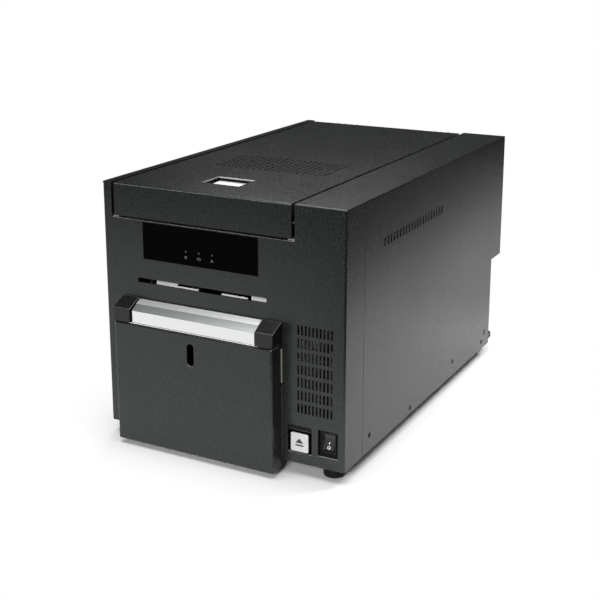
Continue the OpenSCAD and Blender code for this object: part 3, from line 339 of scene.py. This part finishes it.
for node, (y, z) in {"entry_roller": (58, 156.4), "platen_roller": (130, 156.4),
                     "exit_roller": (202, 156.4), "pick_roller": (58, 99.4)}.items():
    M[node] = layered(node + "_mat", STEEL, [
        (outside(y, z, ROLLER_RADIUS - SLEEVE_SKIN), RUBBER),
        (all_of(outside(y, z, GEAR_FROM), GEAR_SIDE), ACETAL)],
        scale=1600, spread=0.08, grain=0.15)
for node, y in (("front_pinch_roller", 58), ("rear_pinch_roller", 202)):
    M[node] = layered(node + "_mat", STEEL, [
        (outside(y, 172.2, PINCH_RADIUS - SLEEVE_SKIN), PINCH_RUBBER)], scale=1500)
for node, name, y, z, wound_radius, dye in (
        ("supply_spool", "supply_mat", 236, 206, 30, (0.10, 0.014, 0.04)),
        ("takeup_spool", "takeup_mat", 78.5, 212.8, 13, (0.05, 0.02, 0.09))):
    shell = all_of(outside(y, z, wound_radius - WOUND_SKIN),
                   inverse(outside(y, z, wound_radius + WOUND_SKIN)))
    M[node] = layered(name, SPOOL_CORE, [
        (all_of(shell, slab("X", WOUND_FROM, WOUND_TO)), Finish(dye, 0.2, 0.0)),
        (all_of(outside(y, z, SPOOL_GEAR_FROM), GEAR_SIDE), ACETAL)],
        scale=700, spread=0.12, grain=0.06)


def finish_of(node):
    """The node's own finish, or else its slot's."""
    return M[node if node in M else SLOT_OF[node]]


for node in SLOT_OF:
    cad_materials = frame["nodes"][node].data.materials
    cad_materials.clear()
    cad_materials.append(finish_of(node))

# Finishes of the dressed copies below, by node or by name.
BLACK_GRAIN = {"spread": 0.2, "scale": 1800, "grain": 0.2, "depth": 0.05}
# The key and switch housings' black plastic is three times darker than the other black plastic:
# partly painted shade in their recesses.
M["key_housing"] = grained("recess_black_painted_shade", (0.004, 0.004, 0.0042), 0.55, specular=0.3,
                           **BLACK_GRAIN)
M.update({
    "card_guide": grained("white_guide", (0.86, 0.86, 0.85), 0.5, spread=0.02, scale=400,
                          grain=0.0, rough_spread=0.03),
    # The bar is one anodised finish; the facet between Y -17.3 and -9.4 mm is given half the
    # brightness of its other faces, a painted shade on that face.
    "door_handle": layered("bar_anodised_painted_facet_shade", Finish((0.98, 0.98, 0.98), 0.16, 1.0), [
        (slab("Y", -17.3, -9.4), Finish((0.475, 0.50, 0.50), 0.3, 1.0)),
        (above("Y", -9.4), Finish((0.95, 0.96, 0.94), 0.34, 1.0))],
        scale=2500, spread=0.02, grain=0.02, depth=0.01),
    "release_key": layered("key_two_tone", Finish((0.006, 0.006, 0.0062), 0.5, 0.0), [
        (below("Y", 0.5), Finish((0.56, 0.56, 0.55), 0.4, 0.0))],
        scale=400, spread=0.02, grain=0.02, depth=0.02),
    "switch_housing": M["key_housing"],
    # The finger cup's plastic is near-black, six times darker than the other black plastic: partly
    # painted shade in the cup.
    "lid_finger_cup": grained("cup_black_painted_shade", (0.002, 0.002, 0.0021), 0.55, specular=0.12,
                              **BLACK_GRAIN),
    "power_rocker": grained("rocker_black", (0.022, 0.022, 0.023), 0.32, spread=0.15, scale=1800,
                            grain=0.1, depth=0.03),
    "catch_plate": grained("catch_plate_film", (0.155, 0.165, 0.135), 0.45, spread=0.06,
                           grain=0.1, depth=0.03),
    # The base pan's zinc is made three times darker than the other zinc sheet: painted shade under
    # the case.
    "base_pan": grained("pan_zinc_painted_shade", (0.20, 0.205, 0.20), 0.45, spread=0.10, metallic=1.0,
                        scale=120, grain=0.05, depth=0.05, rough_spread=0.08,
                        stretch=LEVEL_STREAKS),
    "lid_panel": powder("powder_coat_lid", CHARCOAL, 0.09, 560, rough=0.28),
    # Near-black faces on the walls and rims of the lid's holes and the front's slots: painted
    # shade in the holes.
    "hole_dark": grained("hole_dark", (0.001, 0.001, 0.001), 0.8, spread=0.2, scale=1800,
                         grain=0.1, depth=0.02, specular=0.0),
    # Upward bevels of the powder-coated sheets get this coat at about thirteen times the black's
    # brightness and a higher specular level: a painted highlight along their edges.
    "powder_rim": powder("powder_rim", (0.14, 0.152, 0.143), 0.15, 520, specular=1.0),
    # Upward bevels of the black caps and housings get this plastic, much lighter than their own
    # black: a painted highlight along their edges.
    "cap_rim": grained("cap_rim", (0.09, 0.09, 0.092), 0.3, spread=0.1, scale=1800, grain=0.1,
                       depth=0.03, specular=0.9),
    # Unpainted sheet metal on chosen edge faces, most of them facing up: partly a real cut edge,
    # partly a painted highlight.
    "cut_edge": grained("cut_edge", (0.34, 0.35, 0.33), 0.4, spread=0.1, grain=0.1, depth=0.03),
    "mark_grey": grained("mark_grey", (0.20, 0.20, 0.20), 0.5, spread=0.05, scale=500,
                         grain=0.0),
    "mark_dark": grained("mark_dark", (0.03, 0.03, 0.032), 0.5, spread=0.05, scale=500,
                         grain=0.0),
    "mark_white": grained("mark_white", (0.75, 0.75, 0.74), 0.45, spread=0.03, scale=500,
                          grain=0.0),
})


# ---------------------------------------------------------------- pieces

SHARP_ANGLE = math.radians(30)


def add(name, bm, material, body, normals=None):
    """A mesh piece from bmesh, riding on a body; normals are its corner normals, if held."""
    me = bpy.data.meshes.new(name)
    if normals is None:
        bmesh.ops.recalc_face_normals(bm, faces=bm.faces)
    bm.to_mesh(me)
    bm.free()
    me.materials.append(material)
    me.shade_smooth()
    if normals is None:
        me.set_sharp_from_angle(angle=SHARP_ANGLE)
    else:
        me.normals_split_custom_set(normals)
    ob = bpy.data.objects.new(name, me)
    scene.collection.objects.link(ob)
    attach(ob, body)
    return ob


def held_normals(bm, bent):
    """Corner normals that keep flat faces flat and bend only over the narrow bevel faces.

    bent holds the indices of the bevel faces."""
    same_face = math.cos(math.radians(28))
    next_face = math.cos(math.radians(80))
    same_bend = 0.5
    area = [f.calc_area() for f in bm.faces]
    flat_at = {}

    def mean_normal(faces, otherwise):
        total = Vector()
        for g in faces:
            total += g.normal * area[g.index]
        return total.normalized() if total.length > 0 else otherwise.normal.copy()

    def flat_normal(v, f):
        key = (v.index, f.index)
        if key not in flat_at:
            flat_at[key] = mean_normal(
                (g for g in v.link_faces
                 if g.index not in bent and g.normal.dot(f.normal) > same_face), f)
        return flat_at[key]

    def corner_normal(v, f):
        if f.index not in bent:
            return flat_normal(v, f)
        nearest = max((g for g in v.link_faces if g.index not in bent),
                      key=lambda g: g.normal.dot(f.normal), default=None)
        if nearest is not None and nearest.normal.dot(f.normal) > next_face:
            return flat_normal(v, nearest)
        return mean_normal((g for g in v.link_faces
                            if g.index in bent and g.normal.dot(f.normal) > same_bend), f)

    return [corner_normal(loop.vert, f) for f in bm.faces for loop in f.loops]


# Slots 1 to 3 hold painted shade in holes, a painted highlight on upward bevels, and unpainted
# edges whose light colour is partly a painted highlight.
BASE, HOLE_SHADE, EDGE_HIGHLIGHT, BARE_AND_HIGHLIGHT = range(4)    # material slots of a dressed copy
BENT = 1                              # marks bevel faces while a copy is made
BEVEL_LIMIT = math.radians(28)        # edges sharper than this are bevelled
FLAT_LIMIT = math.radians(0.6)        # faces flatter than this are joined
WELD = 0.002 * MM
FOLD_RADIUS = 1.8
EDGE_HIGHLIGHT_UPWARD = 0.3


def bevel(bm, edges, width, segments):
    """Bevels edges by width in mm and marks the new faces as bent."""
    bmesh.ops.bevel(bm, geom=edges, offset=width * MM, offset_type="OFFSET", segments=segments,
                    profile=0.5, affect="EDGES", clamp_overlap=True, harden_normals=False,
                    material=BENT)


def dressed(node, width, highlight_finish=None, fold=None, hole_shade=None, bare_and_highlight=None):
    """A copy of a CAD node in its place, with edges bevelled by width in mm.

    Its third argument is the finish of bevels that look upward, a painted highlight; fold picks
    edges that get a wide bend;
    the next test picks faces by their centre and normal (None on a bevel) to be painted near-black
    as shade in holes, and the last picks unpainted sheet edges by their centre and normal, whose
    light metal colour is partly a painted highlight."""
    bm = bmesh.new()
    bm.from_mesh(frame["nodes"][node].data)
    bmesh.ops.remove_doubles(bm, verts=bm.verts, dist=WELD)
    bmesh.ops.dissolve_limit(bm, angle_limit=FLAT_LIMIT, verts=bm.verts, edges=bm.edges)
    bmesh.ops.recalc_face_normals(bm, faces=bm.faces)
    for f in bm.faces:
        f.material_index = 0
    if fold:
        bevel(bm, [e for e in bm.edges if fold(e.verts[0].co, e.verts[1].co)], FOLD_RADIUS, 5)
    bevel(bm, [e for e in bm.edges
               if len(e.link_faces) == 2 and e.calc_face_angle(0) > BEVEL_LIMIT], width, 2)
    bm.normal_update()
    bm.verts.index_update()
    bm.faces.index_update()
    bent = {f.index for f in bm.faces if f.material_index == BENT}
    normals = held_normals(bm, bent)
    # Unpainted edges get a light colour that is partly a painted highlight, hole and slot faces
    # get painted shade, and upward bevels get a painted highlight.
    for f in bm.faces:
        centre, is_bent = f.calc_center_median(), f.index in bent
        if bare_and_highlight and bare_and_highlight(centre, f.normal):
            f.material_index = BARE_AND_HIGHLIGHT
        elif hole_shade and hole_shade(centre, None if is_bent else f.normal):
            f.material_index = HOLE_SHADE
        elif highlight_finish and is_bent and f.normal.z > EDGE_HIGHLIGHT_UPWARD:
            f.material_index = EDGE_HIGHLIGHT
        else:
            f.material_index = BASE
    ob = add(node + "_dressed", bm, finish_of(node), BODY_OF[node], normals)
    if highlight_finish:
        for finish in ("hole_dark", highlight_finish, "cut_edge"):
            ob.data.materials.append(M[finish])
    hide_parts(node)
    return ob


def in_box(point, low, high):
    """Whether a point lies between two corners in case coordinates."""
    low, high = at(*low), at(*high)
    return all(low[i] < point[i] < high[i] for i in range(3))


def front_fold(a, b):
    """Edges along X where a front face turns over into a top."""
    longest_short_edge, reach = 20 * MM, 0.2 * MM
    front, low, high = at(0, 0, 0).y, at(0, 0, 226).z, at(0, 0, 271).z
    return (abs(a.x - b.x) > longest_short_edge
            and all(abs(v.y - front) < reach and low < v.z < high for v in (a, b)))


def in_vents(centre, normal):
    """Walls and rims of the small round holes in the lid's top, painted near-black as the shade in
    the holes.
    """
    return ((normal is None or abs(normal.z) < 0.35)
            and in_box(centre, (40, 88, 268.55), (200, 200, 270.1)))


def in_slots(centre, normal):
    """Walls and rims of the vent slots and of the card slot in the front, painted near-black as
    the shade in the slots.
    """
    return ((normal is None or abs(normal.y) < 0.35)
            and (in_box(centre, (228, -0.1, 50), (282, 1.6, 155))
                 or in_box(centre, (40, 0.1, 164), (200, 1.45, 171))))


def cover_edges(centre, normal):
    """Unpainted edges of the front cover, their upward faces only: under the lid, at the recesses'
    feet, right top corner; their light colour is partly a painted highlight.
    """
    return (normal.z > 0.3 and in_box(centre, (2, -0.1, 230), (229, 2.1, 236))
            or normal.z > 0.8 and in_box(centre, (215, -0.1, 4), (285, 1.6, 20))
            or normal.z > 0.3 and normal.x > 0.3
            and in_box(centre, (285, 1, 268), (286.2, 470, 270.2)))


def cup_edges(centre, normal):
    """Unpainted sheet edges round the finger cup's opening in the lid; their light colour is
    partly a painted highlight.
    """
    return normal.z < 0.9 and in_box(centre, (60, 50, 268.4), (130, 80, 270.2))


# The third column is the finish of upward bevels, a painted highlight.
for node, width, highlight_finish in (
        ("left_side_panel", 0.3, None), ("right_side_panel", 0.3, None),
        ("rear_panel", 0.3, "powder_rim"), ("door_shell", 0.4, "powder_rim"),
        ("door_handle", 0.3, None), ("door_cap_left", 0.5, "cap_rim"),
        ("door_cap_right", 0.5, "cap_rim"), ("release_key", 0.35, None),
        ("power_rocker", 0.3, None), ("switch_housing", 0.25, "cap_rim"),
        ("key_housing", 0.25, "cap_rim"), ("latch_paddle", 0.3, None),
        ("card_guide", 0.1, None), ("base_pan", 0.2, None), ("roller_catches", 0.2, None),
        ("catch_plate", 0.15, None), ("front_crossbar", 0.15, None), ("power_inlet", 0.3, None),
        ("card_tray", 0.2, None)):
    dressed(node, width, highlight_finish)
# The front cover and the lid get painted shade in their slots and holes, and unpainted edges whose
# light colour is partly a painted highlight.
dressed("front_cover", 0.42, "powder_rim", fold=front_fold, hole_shade=in_slots, bare_and_highlight=cover_edges)
dressed("lid_panel", 0.42, "powder_rim", fold=front_fold, hole_shade=in_vents, bare_and_highlight=cup_edges)
dressed("lid_finger_cup", 0.2)

# ---------------------------------------------------------------- marks and rivets

# Plane of a flat mark: the directions of its x and y, and the way it stands out.
Plane = namedtuple("Plane", "right up out")
FRONT = Plane(X_AXIS, Z_AXIS, -Y_AXIS)


def rectangle(x0, y0, x1, y1):
    """The corners of a rectangle."""
    return [(x0, y0), (x1, y0), (x1, y1), (x0, y1)]


def flat_shape(bm, points, origin, plane, height):
    """A closed prism on a polygon of points in mm, standing out by height in mm."""
    def corners(rise):
        return [bm.verts.new(origin + plane.right * x * MM + plane.up * y * MM
                             + plane.out * rise * MM) for x, y in points]

    low, high = corners(0), corners(height)
    bm.faces.new(low[::-1])
    bm.faces.new(high)
    for i in range(len(points)):
        j = (i + 1) % len(points)
        bm.faces.new((low[i], low[j], high[j], high[i]))


def ring_shape(bm, inner, outer, origin, plane, height, sides=28):
    """A closed flat ring between two radii in mm, standing out by height in mm."""
    def circle(radius, rise):
        angles = [2 * math.pi * k / sides for k in range(sides)]
        return [bm.verts.new(origin + (plane.right * math.cos(a) + plane.up * math.sin(a))
                             * radius * MM + plane.out * rise * MM) for a in angles]

    loops = [circle(inner, 0), circle(outer, 0), circle(outer, height), circle(inner, height)]
    for a, b in zip(loops, loops[1:] + loops[:1]):
        for i in range(sides):
            j = (i + 1) % sides
            bm.faces.new((a[i], a[j], b[j], b[i]))


# Small pictures under the three status lights: a ring with a bar, a card, a triangle. Bars
# that start farther right stand out a little more, so that their tops don't lie in one plane.
FIRST_LIGHT, LIGHT_PITCH = 103.3, 15.8
CARD_BARS = [rectangle(-1.9, -1.1, 1.9, -0.75), rectangle(-1.9, 0.75, 1.9, 1.1),
             rectangle(-1.9, -1.1, -1.55, 1.1), rectangle(1.55, -1.1, 1.9, 1.1)]
TRIANGLE_BARS = [[(-1.6, -1.1), (1.6, -1.1), (1.3, -0.75), (-1.3, -0.75)],
                 [(-1.6, -1.1), (-1.15, -1.1), (0.15, 1.5), (-0.15, 1.5)],
                 [(1.15, -1.1), (1.6, -1.1), (0.15, 1.5), (-0.15, 1.5)]]
bm = bmesh.new()
ring_at, card_at, triangle_at = (at(FIRST_LIGHT + LIGHT_PITCH * k, -0.5, 200) for k in range(3))
ring_shape(bm, 1.0, 1.35, ring_at, FRONT, 0.03)
flat_shape(bm, rectangle(-0.16, 0.2, 0.16, 1.7), ring_at, FRONT, 0.04)
for bar in CARD_BARS:
    flat_shape(bm, bar, card_at, FRONT, 0.03 + 0.002 * bar[0][0])
for bar in TRIANGLE_BARS:
    flat_shape(bm, bar, triangle_at, FRONT, 0.03 + 0.001 * bar[0][0])
add("status_marks", bm, M["mark_grey"], "chassis")

# Open sign on the release key: a triangle over a bar.
bm = bmesh.new()
key_centre = at(235.6, -0.6, 22.7)
flat_shape(bm, [(-4.6, -0.6), (4.6, -0.6), (0, 4.6)], key_centre, FRONT, 0.05)
flat_shape(bm, rectangle(-4.6, -3.9, 4.6, -2.2), key_centre, FRONT, 0.05)
add("key_mark", bm, M["mark_dark"], "release_key")

# On and off marks on the lower face of the rocker, which rests tilted on its axle.
rest_tilt = Matrix.Rotation(math.radians(-11), 4, "X")
face_down, face_out = Vector((0, -0.1388, -0.9903)), Vector((0, -0.9903, 0.1388))
face_top = Vector((0, -3.9, 2.6))
lower_face = Plane(X_AXIS, -(rest_tilt @ face_down).normalized(),
                   (rest_tilt @ face_out).normalized())


def on_rocker(distance):
    """The place on the rocker's lower face at a distance in mm from its top."""
    offset = rest_tilt @ (face_top + face_down * distance)
    return at(267.4, 8.6 + offset.y, 27 + offset.z)


bm = bmesh.new()
flat_shape(bm, rectangle(-0.4, -1.2, 0.4, 1.2), on_rocker(3.4), lower_face, 0.04)
ring_shape(bm, 1.1, 1.75, on_rocker(8.0), lower_face, 0.04)
add("rocker_marks", bm, M["mark_white"], "power_rocker")

# Two rivet heads at the top of the front face, right of the lid.
bm = bmesh.new()
for x in (237.6, 281.9):
    bmesh.ops.create_uvsphere(
        bm, u_segments=20, v_segments=10, radius=1.1 * MM,
        matrix=Matrix.Translation(at(x, 0.15, 265.7)) @ Matrix.Diagonal((1, 0.5, 1, 1)))
add("top_rivets", bm, M["screw"], "chassis")

# ---------------------------------------------------------------- floor

# The white floor ends where the photo's dark studio shows in the black surfaces.
# Lengths are in metres in the row frame.
FLOOR_OUTLINE = ((-1.5, -0.97), (-0.24, -0.97), (0.04, -0.48), (0.43, -0.36), (0.43, 1.5),
                 (-1.5, 1.5))
HALF_FOOTPRINT = (0.143, 0.233, 0)
SHADOW_REACH = 0.12     # round the case the camera sees the lit floor, with its shadow
MIRROR_REACH = 0.21     # and so do mirrors
WHITE = (1, 1, 1, 1)


def seen_by(t, path, *kinds):
    """1 for rays of the named kinds."""
    total = path.outputs[kinds[0]]
    for kind in kinds[1:]:
        total = calc(t, "ADD", total, path.outputs[kind], clamp=True)
    return total


floor_material = grained("studio_floor", (0.86, 0.86, 0.86), 0.6, spread=0.004, scale=3,
                         grain=0.0, rough_spread=0.02, specular=0.1)
t = floor_material.node_tree
output = next(n for n in t.nodes if n.type == "OUTPUT_MATERIAL")
lit = next(n for n in t.nodes if n.type == "BSDF_PRINCIPLED")
beyond = vector_calc(t, "SUBTRACT", vector_calc(t, "ABSOLUTE", object_place(t)), HALF_FOOTPRINT)
distance = vector_calc(t, "LENGTH", vector_calc(t, "MAXIMUM", beyond, (0, 0, 0)))
path = make(t, "ShaderNodeLightPath")
to_camera = calc(t, "MULTIPLY",
                 remap(t, distance, 0.0, 1.0, 0.0, SHADOW_REACH, interpolation_type="SMOOTHSTEP"),
                 seen_by(t, path, "Is Camera Ray", "Is Transmission Ray"))
to_mirrors = calc(t, "MULTIPLY", remap(t, distance, 0.0, 1.0, 0.0, MIRROR_REACH),
                  path.outputs["Is Glossy Ray"])
plain = make(t, "ShaderNodeEmission", {"Color": WHITE, "Strength": 1.0})
surface = make(t, "ShaderNodeMixShader", {
    "Fac": calc(t, "ADD", to_camera, to_mirrors, clamp=True),
    1: lit.outputs["BSDF"], 2: plain.outputs[0]})
feed(t, output, {"Surface": surface.outputs[0]})

bm = bmesh.new()
bm.faces.new([bm.verts.new((x, y, 0)) for x, y in FLOOR_OUTLINE])
me = bpy.data.meshes.new("floor")
bm.to_mesh(me)
bm.free()
me.materials.append(floor_material)
floor = bpy.data.objects.new("floor", me)
scene.collection.objects.link(floor)

# ---------------------------------------------------------------- light

def area(name, location, target, size, power, spread=None):
    """A square area lamp, size in metres and power in watts, that the camera doesn't see."""
    lamp = bpy.data.lights.new(name, "AREA")
    lamp.energy = power
    lamp.size = size
    if spread:
        lamp.spread = math.radians(spread)
    ob = bpy.data.objects.new(name, lamp)
    ob.location = location
    ob.rotation_euler = (Vector(target) - Vector(location)).to_track_quat("-Z", "Y").to_euler()
    ob.visible_camera = False
    scene.collection.objects.link(ob)


area("softbox_top", (-0.05, -0.5, 2.1), (0.0, -0.25, 0), 1.7, 45)
area("right_top", (1.0, 1.0, 1.6), (0.42, 0.6, 0), 0.7, 7.6, spread=70)
area("back_soft", (-0.25, 0.48, 0.88), (0.05, -0.1, 0.28), 0.45, 2.3)
area("front_fill", (0.35, -2.45, 1.05), (0, -0.2, 0.15), 0.8, 46)

# The world is white to the camera and through clear things, and a dim studio to the rest.
AMBIENT = 0.018
world = bpy.data.worlds.new("studio")
scene.world = world
world.use_nodes = True
t = world.node_tree
t.nodes.clear()
path = make(t, "ShaderNodeLightPath")
ambient = make(t, "ShaderNodeBackground", {"Color": WHITE, "Strength": AMBIENT})
backdrop = make(t, "ShaderNodeBackground", {"Color": WHITE, "Strength": 1.0})
mix = make(t, "ShaderNodeMixShader", {
    "Fac": seen_by(t, path, "Is Camera Ray", "Is Transmission Ray"),
    1: ambient.outputs[0], 2: backdrop.outputs[0]})
make(t, "ShaderNodeOutputWorld", {"Surface": mix.outputs[0]})

# ---------------------------------------------------------------- camera

# Fitted to nine corners of the case in the photo. Angles are in radians, the focal length and
# the photo's width in its pixels.
CAMERA_AT = at(744.2, -951.2, 522.3)
YAW, PITCH, FOCAL = -0.4907, 0.2499, 1153.4
PHOTO_WIDTH, SENSOR_WIDTH = 600, 36

cam_data = bpy.data.cameras.new("camera")
cam = bpy.data.objects.new("camera", cam_data)
scene.collection.objects.link(cam)
scene.camera = cam
cam.location = CAMERA_AT
look = Vector((math.sin(YAW) * math.cos(PITCH), math.cos(YAW) * math.cos(PITCH),
               -math.sin(PITCH)))
cam.rotation_mode = "QUATERNION"
cam.rotation_quaternion = look.to_track_quat("-Z", "Y")
cam_data.sensor_width = SENSOR_WIDTH
cam_data.lens = FOCAL / PHOTO_WIDTH * SENSOR_WIDTH
cam_data.shift_y = -0.12
cam_data.clip_start = 0.05
cam_data.clip_end = 60

scene.view_settings.view_transform = "Standard"
